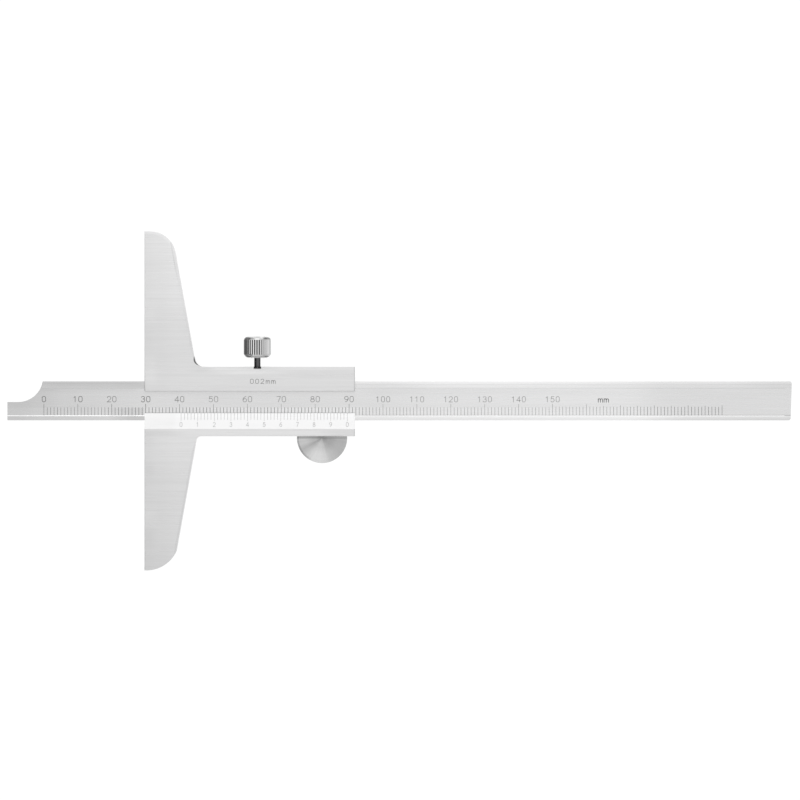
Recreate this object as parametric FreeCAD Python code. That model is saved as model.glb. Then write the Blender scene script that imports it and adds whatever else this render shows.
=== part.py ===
import FreeCAD, Part
import math
import os

# Vernier depth gauge, 0 to 150 mm, reading to 0.02 mm. Millimetres.
# +X runs along the beam, away from the surface that is measured against.
# +Y runs along the base towards the lock screw. +Z is out of the graduated face.
# The origin is the middle of the measuring face: half way along the base and half way
# through its thickness. The pieces stand at a reading of 40.48 mm, lock screw released.

V = FreeCAD.Vector

# ---------------------------------------------------------------- driving dimensions
FRAME_T = 7.0            # thickness of the frame and base
BACK_Z = -FRAME_T / 2
FRONT_Z = FRAME_T / 2
BASE_HALF = 50.0         # half the length of the measuring face
SLIDER_LEN = 62.0        # frame length along the beam
SLIDER_TOP = 10.05       # upper edge of the slider
SLIDER_BOT = -10.45      # lower edge of the slider
WING_ROOT = 15.15        # depth of the upper wing where its tapered side meets the slider edge
LOWER_ROOT = 15.54       # the same for the lower wing, which is a little deeper
WING_SLOPE = 0.1795      # taper of the wings, dx per dy
WING_END_R = 7.5         # rounded end of the upper wing
LOWER_END_R = 9.6        # rounded end of the lower wing
FILLET_UP = 2.7          # wing to slider fillet, upper
FILLET_LOW = 1.3         # wing to slider fillet, lower
EDGE = 0.2               # edge break round the frame

BEAM_LEN = 231.0
BEAM_H = 11.5
BEAM_T = 3.0
BEAM_Z0 = -1.05          # back of the beam
BEAM_Z1 = BEAM_Z0 + BEAM_T
READING = 40.48          # how far the beam's tip stands out of the measuring face
TONGUE_TOP = -0.35       # upper edge of the narrow measuring tongue
SHOULDER_R = 7.35        # concave shoulder behind the tongue
SHOULDER_BACK = 3.18     # from the tip to the shoulder's centre
END_SLANT = 0.35         # the far end is not quite square: the upper corner stands out
SCALE_DROP = 0.08        # the graduated strip lies this far below its lands
LAND_UP = 3.65           # lower edge of the upper land
LAND_LOW = -4.30         # foot of the step up to the lower land
END_LAND = 1.8           # plain bevelled land at the beam's far end

SLOT_CLEAR = 0.02        # running clearance on the beam's faces
SLOT_TOP = 6.75          # roof of the slot; the leaf spring lies under it
WINDOW_TOP = 2.8         # upper edge of the reading window
VERNIER_EDGE = -3.5      # thin edge of the vernier
VERNIER_FOOT = -8.3      # where the vernier's bevel reaches the frame's face
VERNIER_EDGE_T = 0.13    # thickness of the vernier's thin edge

LEAF_T = 0.3             # leaf spring thickness
LEAF_W = 2.6
LEAF_X0 = 2.5
LEAF_X1 = 59.5

LOCK_X = 33.2            # lock screw axis along the frame
LOCK_Z = BEAM_Z0 + BEAM_T / 2
THREAD_R = 1.25          # M2.5
THREAD_CORE_R = 0.99
THREAD_PITCH = 0.45
THREAD_Y0 = 8.30
THREAD_Y1 = 10.15
NECK_R = 0.93
PIN_R = 0.50             # pin on the stud's tip
PAD_R = 1.00
KNOB_R = 4.0
KNOB_Y0 = 12.58
KNOB_Y1 = 19.18
KNURL_Y1 = 17.95         # the knurl stops here, and a plain rim follows
KNOB_TEETH = 36
KNOB_TOOTH = 0.26
KNOB_PHASE = 4.7         # degrees from +Z to the middle of the nearest land

REST_X = 52.3            # thumb rest: centre of the disc it is cut from
REST_Y = -11.0
REST_R = 7.385
REST_T = 5.0
DOWEL_R = 0.75
DOWEL_X = (48.7, 55.9)

SCREW_X = (6.5, 55.5)    # vernier screws, from the back
SCREW_Y = -7.35
SCREW_R = 0.70
SCREW_HEAD_R = 1.30

TIP_X = -READING
BEAM_HALF = BEAM_H / 2


# ---------------------------------------------------------------- helpers
def box(x0, x1, y0, y1, z0, z1):
    return Part.makeBox(x1 - x0, y1 - y0, z1 - z0, V(x0, y0, z0))


def poly_face(pts):
    return Part.Face(Part.makePolygon([V(*p) for p in pts] + [V(*pts[0])]))


def prism_x(yz, x0, x1):
    """A section drawn in Y and Z, run along X."""
    return poly_face([(x0, y, z) for y, z in yz]).extrude(V(x1 - x0, 0, 0))


def prism_z(xy, z0, z1):
    """An outline drawn in X and Y, run along Z."""
    return poly_face([(x, y, z0) for x, y in xy]).extrude(V(0, 0, z1 - z0))


def turned(profile, x, z):
    """A profile of (radius, y) turned about the line along Y through x and z."""
    face = poly_face([(x + r, y, z) for r, y in profile])
    return face.revolve(V(x, 0, z), V(0, 1, 0), 360)


def cyl_y(r, y0, y1, x, z):
    return Part.makeCylinder(r, y1 - y0, V(x, y0, z), V(0, 1, 0))


def cyl_z(r, z0, z1, x, y):
    return Part.makeCylinder(r, z1 - z0, V(x, y, z0), V(0, 0, 1))


def arc(a, m, b):
    return Part.Arc(V(*a), V(*m), V(*b)).toShape()


def line(a, b):
    return Part.LineSegment(V(*a), V(*b)).toShape()


def corner(p, u, v, r):
    """Tangent points and middle of an arc of radius r in the corner at p.

    u and v are unit vectors from p along its two sides.
    """
    half = math.acos(max(-1.0, min(1.0, u[0] * v[0] + u[1] * v[1]))) / 2
    t = r / math.tan(half)
    a = (p[0] + u[0] * t, p[1] + u[1] * t)
    b = (p[0] + v[0] * t, p[1] + v[1] * t)
    w = (u[0] + v[0], u[1] + v[1])
    n = math.hypot(*w)
    c = (p[0] + w[0] / n * r / math.sin(half), p[1] + w[1] / n * r / math.sin(half))
    m = (c[0] - w[0] / n * r, c[1] - w[1] / n * r)
    return a, m, b


def one_solid(shape, name):
    shape = shape.removeSplitter() if shape.ShapeType != "Solid" else shape
    solids = shape.Solids
    if not solids:
        raise RuntimeError(name + " has no solid")
    if len(solids) == 1:
        shape = solids[0]
    if not shape.isValid():
        shape.fix(1e-6, 1e-6, 1e-6)
    print("%-18s solids %d  volume %9.3f  valid %s" % (name, len(solids), shape.Volume, shape.isValid()))
    return shape


# ---------------------------------------------------------------- frame and base
def wing_x(y):
    """Depth of a wing's tapered side at y."""
    root = WING_ROOT if y > 0 else LOWER_ROOT
    return root - WING_SLOPE * (abs(y) - SLIDER_TOP)


def frame_outline():
    s = math.hypot(WING_SLOPE, 1.0)
    up = (-WING_SLOPE / s, 1.0 / s)         # along the upper taper, away from the slider
    dn = (-WING_SLOPE / s, -1.0 / s)        # along the lower taper, away from the slider
    # upper wing: end corner and root corner
    e_a, e_m, e_b = corner((wing_x(BASE_HALF), BASE_HALF), (-1.0, 0.0), (-up[0], -up[1]), WING_END_R)
    r_a, r_m, r_b = corner((wing_x(SLIDER_TOP), SLIDER_TOP), up, (1.0, 0.0), FILLET_UP)
    # lower wing: the root corner, and an end arc that meets the taper at a slight corner
    low_root = (wing_x(SLIDER_BOT), SLIDER_BOT)
    q_a, q_m, q_b = corner(low_root, (1.0, 0.0), dn, FILLET_LOW)
    ce = (0.61, -BASE_HALF + LOWER_END_R)
    ty = -44.1
    for _ in range(30):                     # where the end arc meets the taper
        tx = low_root[0] - WING_SLOPE * (low_root[1] - ty)
        ty = ce[1] - math.sqrt(max(LOWER_END_R ** 2 - (tx - ce[0]) ** 2, 0.0))
    t_pt = (tx, ty)
    ang0 = math.atan2(t_pt[1] - ce[1], t_pt[0] - ce[0])
    mid = (ang0 - math.pi / 2) / 2
    e_mid = (ce[0] + LOWER_END_R * math.cos(mid), ce[1] + LOWER_END_R * math.sin(mid))
    e_end = (ce[0], -BASE_HALF)

    def p(q):
        return (q[0], q[1], BACK_Z)

    edges = [
        line(p((0, -BASE_HALF)), p(e_end)),
        arc(p(e_end), p(e_mid), p(t_pt)),
        line(p(t_pt), p(q_b)),
        arc(p(q_b), p(q_m), p(q_a)),
        line(p(q_a), p((SLIDER_LEN, SLIDER_BOT))),
        line(p((SLIDER_LEN, SLIDER_BOT)), p((SLIDER_LEN, SLIDER_TOP))),
        line(p((SLIDER_LEN, SLIDER_TOP)), p(r_b)),
        arc(p(r_b), p(r_m), p(r_a)),
        line(p(r_a), p(e_b)),
        arc(p(e_b), p(e_m), p(e_a)),
        line(p(e_a), p((0, BASE_HALF))),
        line(p((0, BASE_HALF)), p((0, -BASE_HALF))),
    ]
    return Part.Wire(edges), t_pt


def wing_band(y0, w0, d0, y1, w1, d1):
    """Wedge that planes a band along a wing's tapered side, from y0 to y1.

    w is the band's width on the graduated face and d its depth at the tapered side.
    """
    def side(y, w, d):
        a = V(wing_x(y) - w, y, FRONT_Z)
        b = V(wing_x(y), y, FRONT_Z - d)
        u = (b - a).normalize()
        return a - u * 0.02, b + u * 2.0

    a0, b0 = side(y0, w0, d0)
    a1, b1 = side(y1, w1, d1)
    quad = [a0, a1, b1, b0]
    # a floor in two triangles, a flat top and four walls
    faces = [Part.Face(Part.makePolygon([quad[0], quad[1], quad[2], quad[0]])),
             Part.Face(Part.makePolygon([quad[0], quad[2], quad[3], quad[0]]))]
    top = [V(q.x, q.y, FRONT_Z + 1.0) for q in quad]
    faces.append(Part.Face(Part.makePolygon(top + [top[0]])))
    for i in range(4):
        j = (i + 1) % 4
        faces.append(Part.Face(Part.makePolygon([quad[i], quad[j], top[j], top[i], quad[i]])))
    solid = Part.Solid(Part.Shell(faces))
    if solid.Volume < 0:
        solid.reverse()
    return solid


def make_frame():
    wire, low_corner = frame_outline()
    body = Part.Face(wire).extrude(V(0, 0, FRAME_T))
    # edge break all round the front and back outlines
    edges = []
    for e in body.Edges:
        b = e.BoundBox
        flat = b.ZLength < 1e-6
        if flat and (abs(b.ZMin - FRONT_Z) < 1e-6 or abs(b.ZMin - BACK_Z) < 1e-6):
            edges.append(e)
    body = body.makeChamfer(EDGE, edges)

    # planed bands along the wings' tapered sides, which run out into the edge break at the root
    for sign, y0, w1, y2, w2 in ((1, 12.35, 0.60, 52.0, 1.05), (-1, 11.7, 0.58, 52.0, 0.66)):
        body = body.cut(wing_band(sign * y0, EDGE, EDGE, sign * (y0 + 2.5), w1, 0.26))
        body = body.cut(wing_band(sign * (y0 + 2.5), w1, 0.26, sign * y2, w2, 0.32))

    # shallow bevel along the slider's upper edge
    bevel = Part.Face(Part.makePolygon([
        V(0, 7.4, FRONT_Z), V(0, 11.4, FRONT_Z - 0.15 * 4.0 / 2.65), V(0, 11.4, FRONT_Z + 1),
        V(0, 7.4, FRONT_Z + 1), V(0, 7.4, FRONT_Z)])).extrude(V(60, 0, 0))
    bevel.translate(V(20.4, 0, 0))
    run_out = prism_z([(20.0, 7.0), (23.4, 7.0), (20.4, 10.0), (20.4, 12.0), (20.0, 12.0)], 2.0, 5.0)
    body = body.cut(bevel.cut(run_out))

    # slot for the beam, with room above it for the leaf spring
    slot = box(-5, SLIDER_LEN + 5, -BEAM_HALF - SLOT_CLEAR, SLOT_TOP,
               BEAM_Z0 - SLOT_CLEAR, BEAM_Z1 + SLOT_CLEAR)
    body = body.cut(slot)
    # pockets for the spring's turned-up ends
    for x0, x1 in ((LEAF_X0 - 0.4, LEAF_X0 + 0.7), (LEAF_X1 - 0.7, LEAF_X1 + 0.4)):
        body = body.cut(box(x0, x1, SLOT_TOP - 0.1, SLOT_TOP + 0.85,
                            BEAM_Z0 - SLOT_CLEAR, BEAM_Z1 + SLOT_CLEAR))
    # reading window and the ledge that the vernier lies on
    win = prism_x([(VERNIER_FOOT, BEAM_Z1 + SLOT_CLEAR), (WINDOW_TOP, BEAM_Z1 + SLOT_CLEAR),
                   (WINDOW_TOP, FRONT_Z - 0.15), (WINDOW_TOP + 0.15, FRONT_Z),
                   (WINDOW_TOP + 0.15, FRONT_Z + 1), (VERNIER_FOOT, FRONT_Z + 1)], -5, SLIDER_LEN + 5)
    body = body.cut(win)

    # lock screw hole: thread clearance above, plain guide for the pad below
    body = body.cut(cyl_y(THREAD_R + 0.03, 8.0, SLIDER_TOP + 1, LOCK_X, LOCK_Z))
    body = body.cut(cyl_y(PAD_R + 0.03, SLOT_TOP - 0.5, 8.1, LOCK_X, LOCK_Z))
    body = body.cut(turned([(0, SLIDER_TOP - 0.30), (THREAD_R + 0.03, SLIDER_TOP - 0.30),
                            (THREAD_R + 0.43, SLIDER_TOP + 0.1), (0, SLIDER_TOP + 0.1)], LOCK_X, LOCK_Z))
    # countersunk holes for the vernier screws
    for x in SCREW_X:
        body = body.cut(cyl_z(SCREW_R + 0.05, BACK_Z - 1, BEAM_Z1 + 0.5, x, SCREW_Y))
        body = body.cut(Part.makeCone(SCREW_HEAD_R + 0.07, SCREW_R + 0.05, 0.62,
                                      V(x, SCREW_Y, BACK_Z), V(0, 0, 1)))
    # dowel holes for the thumb rest
    for x in DOWEL_X:
        body = body.cut(cyl_y(DOWEL_R, SLIDER_BOT - 1, -8.8, x, 0))
    return body


# ---------------------------------------------------------------- vernier plate
def make_vernier():
    z0 = BEAM_Z1 + SLOT_CLEAR
    plate = prism_x([(VERNIER_EDGE, z0), (VERNIER_EDGE, z0 + VERNIER_EDGE_T),
                     (VERNIER_FOOT, FRONT_Z), (VERNIER_FOOT, z0)], 0.0, SLIDER_LEN)
    # broken edges at both ends, like the frame's
    for x, u in ((0.0, 1.0), (SLIDER_LEN, -1.0)):
        plate = plate.cut(poly_face([(x - u, -12, FRONT_Z - 1.12), (x + u * 1.12, -12, FRONT_Z + 1),
                                     (x - u, -12, FRONT_Z + 1)]).extrude(V(0, 10, 0)))
    for x in SCREW_X:
        plate = plate.cut(cyl_z(SCREW_R, z0 - 1, z0 + 0.80, x, SCREW_Y))
    return plate


def make_vernier_screws():
    z_end = BEAM_Z1 + SLOT_CLEAR + 0.74
    out = []
    for x in SCREW_X:
        head = Part.makeCone(SCREW_HEAD_R, SCREW_R, 0.60, V(x, SCREW_Y, BACK_Z + 0.03), V(0, 0, 1))
        shank = cyl_z(SCREW_R, BACK_Z + 0.3, z_end - 0.12, x, SCREW_Y)
        point = Part.makeCone(SCREW_R, SCREW_R - 0.12, 0.12, V(x, SCREW_Y, z_end - 0.12), V(0, 0, 1))
        screw = head.fuse(shank).fuse(point)
        slot = box(x - 2, x + 2, SCREW_Y - 0.2, SCREW_Y + 0.2, BACK_Z - 0.2, BACK_Z + 0.33)
        ang = 25.0 if x < 20 else -40.0
        slot.rotate(V(x, SCREW_Y, 0), V(0, 0, 1), ang)
        out.append(screw.cut(slot).removeSplitter().Solids[0])
    return Part.makeCompound(out)


# ---------------------------------------------------------------- beam
def make_beam():
    x1 = TIP_X + BEAM_LEN
    x2 = x1 + END_SLANT
    cx = TIP_X + SHOULDER_BACK
    cy = TONGUE_TOP + SHOULDER_R
    sx = cx + math.sqrt(SHOULDER_R ** 2 - (cy - BEAM_HALF) ** 2)
    a0 = -math.pi / 2
    a1 = math.atan2(BEAM_HALF - cy, sx - cx)
    am = (a0 + a1) / 2

    def p(x, y):
        return (x, y, BEAM_Z0)

    c = 0.45
    edges = [
        line(p(TIP_X, -BEAM_HALF), p(x1 - c, -BEAM_HALF)),
        line(p(x1 - c, -BEAM_HALF), p(x1, -BEAM_HALF + c)),
        line(p(x1, -BEAM_HALF + c), p(x2, BEAM_HALF - c)),
        line(p(x2, BEAM_HALF - c), p(x2 - c, BEAM_HALF)),
        line(p(x2 - c, BEAM_HALF), p(sx, BEAM_HALF)),
        arc(p(sx, BEAM_HALF), p(cx + SHOULDER_R * math.cos(am), cy + SHOULDER_R * math.sin(am)), p(cx, TONGUE_TOP)),
        line(p(cx, TONGUE_TOP), p(TIP_X, TONGUE_TOP)),
        line(p(TIP_X, TONGUE_TOP), p(TIP_X, -BEAM_HALF)),
    ]
    body = Part.Face(Part.Wire(edges)).extrude(V(0, 0, BEAM_T))
    # edge break, not on the tip's measuring face
    sel = []
    for e in body.Edges:
        b = e.BoundBox
        if b.ZLength < 1e-6 and not (b.XLength < 1e-6 and abs(b.XMin - TIP_X) < 1e-6):
            sel.append(e)
    body = body.makeChamfer(0.10, sel)
    # graduated strip between its two lands, with sloping steps
    strip = prism_x([(LAND_LOW - 0.20, BEAM_Z1 + 0.0001), (LAND_LOW, BEAM_Z1 - SCALE_DROP),
                     (LAND_UP - 0.12, BEAM_Z1 - SCALE_DROP), (LAND_UP, BEAM_Z1 + 0.0001),
                     (LAND_UP, BEAM_Z1 + 1), (LAND_LOW - 0.20, BEAM_Z1 + 1)],
                    TIP_X - 2, x1 - END_LAND)
    body = body.cut(strip)
    # bevelled land at the far end
    bev = Part.Face(Part.makePolygon([
        V(x1 - END_LAND, -8, BEAM_Z1), V(x1 + 1, -8, BEAM_Z1 - 0.25 * (END_LAND + 1) / END_LAND),
        V(x1 + 1, -8, BEAM_Z1 + 1), V(x1 - END_LAND, -8, BEAM_Z1 + 1),
        V(x1 - END_LAND, -8, BEAM_Z1)])).extrude(V(0, 16, 0))
    body = body.cut(bev)
    return body


# ---------------------------------------------------------------- leaf spring
def make_leaf():
    z0 = LOCK_Z - LEAF_W / 2
    lo = BEAM_HALF + 0.02
    xm = (LEAF_X0 + LEAF_X1) / 2
    hi = SLOT_TOP - 0.02 - LEAF_T
    a = (LEAF_X0, lo, z0)
    m = (xm, hi, z0)
    b = (LEAF_X1, lo, z0)
    at = (LEAF_X0, lo + LEAF_T, z0)
    mt = (xm, hi + LEAF_T, z0)
    bt = (LEAF_X1, lo + LEAF_T, z0)
    wire = Part.Wire([arc(a, m, b), line(b, bt), arc(bt, mt, at), line(at, a)])
    leaf = Part.Face(wire).extrude(V(0, 0, LEAF_W))
    for x0, x1 in ((LEAF_X0, LEAF_X0 + LEAF_T), (LEAF_X1 - LEAF_T, LEAF_X1)):
        leaf = leaf.fuse(box(x0, x1, lo + 0.1, SLOT_TOP + 0.6, z0, z0 + LEAF_W))
    return leaf


# ---------------------------------------------------------------- lock screw
def make_knob():
    # straight knurl: flat lands with V grooves between them, run along the axis up to a plain rim
    pts = []
    step = 2 * math.pi / KNOB_TEETH
    ri = KNOB_R - KNOB_TOOTH
    for i in range(KNOB_TEETH):
        a = i * step + math.radians(KNOB_PHASE)
        for d, r in ((-0.25, KNOB_R), (0.25, KNOB_R), (0.5, ri)):
            t = a + d * step
            pts.append((LOCK_X + r * math.sin(t), KNOB_Y0 - 1, LOCK_Z + r * math.cos(t)))
    knurl = poly_face(pts).extrude(V(0, KNURL_Y1 - KNOB_Y0 + 1, 0))
    if knurl.Volume < 0:
        knurl.reverse()
    knurl = knurl.fuse(cyl_y(KNOB_R - 0.01, KNURL_Y1, KNOB_Y1 + 1, LOCK_X, LOCK_Z))
    # both ends are slightly crowned, and rounded off at the rim
    form = turned([(0, KNOB_Y0), (1.60, KNOB_Y0 + 0.02), (2.40, KNOB_Y0 + 0.07), (3.00, KNOB_Y0 + 0.20),
                   (3.40, KNOB_Y0 + 0.40), (3.65, KNOB_Y0 + 0.67), (3.85, KNOB_Y0 + 0.95),
                   (KNOB_R + 0.02, KNOB_Y0 + 1.25), (KNOB_R + 0.02, KNOB_Y1 - 1.20), (3.86, KNOB_Y1 - 0.82),
                   (3.62, KNOB_Y1 - 0.54), (3.35, KNOB_Y1 - 0.36), (2.90, KNOB_Y1 - 0.27), (1.80, KNOB_Y1 - 0.16),
                   (0.90, KNOB_Y1 - 0.04), (0, KNOB_Y1)], LOCK_X, LOCK_Z)
    knob = form.common(knurl)
    # blind bore for the stud, and a short turned relief at its mouth
    knob = knob.cut(cyl_y(NECK_R, KNOB_Y0 - 1, KNOB_Y0 + 4.5, LOCK_X, LOCK_Z))
    return knob


def make_stud():
    core = turned([(0, THREAD_Y0), (THREAD_CORE_R, THREAD_Y0), (THREAD_CORE_R, THREAD_Y1),
                   (NECK_R, THREAD_Y1), (NECK_R, KNOB_Y0 + 4.4), (0, KNOB_Y0 + 4.4)], LOCK_X, LOCK_Z)
    # helical thread, drawn along Z, then turned to lie along Y
    helix = Part.makeHelix(THREAD_PITCH, THREAD_Y1 - THREAD_Y0 - 0.5, THREAD_CORE_R - 0.02)
    r0, r1 = THREAD_CORE_R - 0.02, THREAD_R
    prof = Part.makePolygon([V(r0, 0, -0.19), V(r1, 0, -0.035), V(r1, 0, 0.035), V(r0, 0, 0.19), V(r0, 0, -0.19)])
    ridge = Part.Wire(helix.Edges).makePipeShell([prof], True, True)
    ridge.rotate(V(0, 0, 0), V(1, 0, 0), -90)
    ridge.translate(V(LOCK_X, THREAD_Y0 + 0.25, LOCK_Z))
    # coned ends trim the first and last turns
    limit = turned([(0, THREAD_Y0), (THREAD_CORE_R - 0.13, THREAD_Y0), (THREAD_R + 0.05, THREAD_Y0 + 0.30),
                    (THREAD_R + 0.05, THREAD_Y1 - 0.22), (THREAD_CORE_R - 0.01, THREAD_Y1),
                    (THREAD_CORE_R - 0.01, KNOB_Y1), (0, KNOB_Y1)], LOCK_X, LOCK_Z)
    threaded = core.fuse(ridge).common(limit)
    # plain pin on the tip, for the pad to swivel on
    pin = turned([(0, 7.20), (PIN_R - 0.08, 7.20), (PIN_R, 7.28), (PIN_R, THREAD_Y0 + 0.2),
                  (0, THREAD_Y0 + 0.2)], LOCK_X, LOCK_Z)
    return threaded.fuse(pin)


def make_pad():
    return turned([(0, 6.77), (PAD_R - 0.15, 6.77), (PAD_R, 6.92), (PAD_R, 7.9), (PAD_R - 0.1, 8.0),
                   (PIN_R + 0.04, 8.0), (PIN_R + 0.04, 7.18), (0, 7.18)], LOCK_X, LOCK_Z)


# ---------------------------------------------------------------- thumb rest
def make_thumb_rest():
    # turned as a disc about Z, with a dished face, a bevelled rim and three grip grooves
    h = REST_T / 2
    prof = [(0, -h + 0.12), (REST_R - 1.25, -h + 0.04), (REST_R - 0.95, -h), (REST_R - 0.55, -h), (REST_R, -h + 0.55)]
    for zc in (-1.1, 0.0, 1.1):
        prof += [(REST_R, zc - 0.30), (REST_R - 0.26, zc - 0.06), (REST_R - 0.26, zc + 0.06), (REST_R, zc + 0.30)]
    prof += [(REST_R, h - 0.55), (REST_R - 0.55, h), (REST_R - 0.95, h), (REST_R - 1.25, h - 0.04), (0, h - 0.12)]
    face = poly_face([(REST_X + r, REST_Y, z) for r, z in prof])
    disc = face.revolve(V(REST_X, REST_Y, 0), V(0, 0, 1), 360)
    rest = disc.common(box(REST_X - 10, REST_X + 10, REST_Y - 10, SLIDER_BOT, -5, 5))
    for x in DOWEL_X:
        rest = rest.cut(cyl_y(DOWEL_R, -12.7, SLIDER_BOT + 1, x, 0))
    return rest


def make_dowels():
    out = []
    for x in DOWEL_X:
        c = 0.15
        out.append(turned([(0, -12.65), (DOWEL_R - c, -12.65), (DOWEL_R, -12.65 + c), (DOWEL_R, -8.85 - c),
                           (DOWEL_R - c, -8.85), (0, -8.85)], x, 0).Solids[0])
    return Part.makeCompound(out)


# ---------------------------------------------------------------- write the pieces
def main():
    os.makedirs("parts", exist_ok=True)
    pieces = [
        ("base_frame", make_frame),
        ("vernier_plate", make_vernier),
        ("vernier_screws", make_vernier_screws),
        ("beam", make_beam),
        ("gib_spring", make_leaf),
        ("lock_screw_knob", make_knob),
        ("lock_screw_stud", make_stud),
        ("lock_pad", make_pad),
        ("thumb_rest", make_thumb_rest),
        ("thumb_rest_dowels", make_dowels),
    ]
    made = {}
    for name, fn in pieces:
        shape = one_solid(fn(), name)
        shape.exportStep("parts/%s.step" % name)
        made[name] = shape
    return made


main()
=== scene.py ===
import math

import bpy
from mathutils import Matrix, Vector


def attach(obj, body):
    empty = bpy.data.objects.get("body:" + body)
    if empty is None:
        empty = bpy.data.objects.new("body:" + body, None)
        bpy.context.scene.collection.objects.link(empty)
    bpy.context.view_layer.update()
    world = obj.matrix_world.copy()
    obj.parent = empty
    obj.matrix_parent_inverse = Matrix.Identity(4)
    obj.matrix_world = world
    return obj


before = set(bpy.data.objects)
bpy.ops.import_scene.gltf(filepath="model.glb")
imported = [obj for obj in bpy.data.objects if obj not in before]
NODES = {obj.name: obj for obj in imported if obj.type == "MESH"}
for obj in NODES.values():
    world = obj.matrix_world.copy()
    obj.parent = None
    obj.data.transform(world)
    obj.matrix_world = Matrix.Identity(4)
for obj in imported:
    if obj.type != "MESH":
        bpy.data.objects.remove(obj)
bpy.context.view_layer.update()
MM = 0.001

# ------------------------------------------------------------------ dimensions, mm
# The same numbers as the part has.
READING = 40.48
ZERO_BACK = 10.76            # scale zero, from the tip; vernier zero, from the measuring face
SCALE_Z = 1.87               # graduated strip of the beam
TICK_FOOT = -4.28            # lower end of the main scale's marks
LAND_UP, LAND_LOW = 3.65, -4.30
BASE_HALF, WING_END_R = 50.0, 7.5
SLIDER_TOP, SLIDER_BOT = 10.05, -10.45
WING_ROOT, WING_SLOPE, FILLET_UP = 15.15, 0.1795, 2.7
VERNIER_EDGE, VERNIER_FOOT = -3.5, -8.3
VERNIER_Z0, VERNIER_Z1 = 2.10, 3.5
FRONT_Z = 3.5
BACK_Z = -3.5
REST_C = (52.3, -11.0)
LOCK_AXIS = (33.2, 0.45)     # x, z
KNOB_R = 4.0
KNOB_KNURL = (-3.2, 1.95)    # ends of the knurl along Y, from the knob's middle at Y 16
KNOB_TEETH, KNOB_PHASE = 36, 4.7
NECK_R = 0.93
KNOB_FORM = ((-3.22, 3.00), (-3.02, 3.40), (-2.75, 3.65), (-2.47, 3.85), (-2.20, 4.0))


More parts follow.
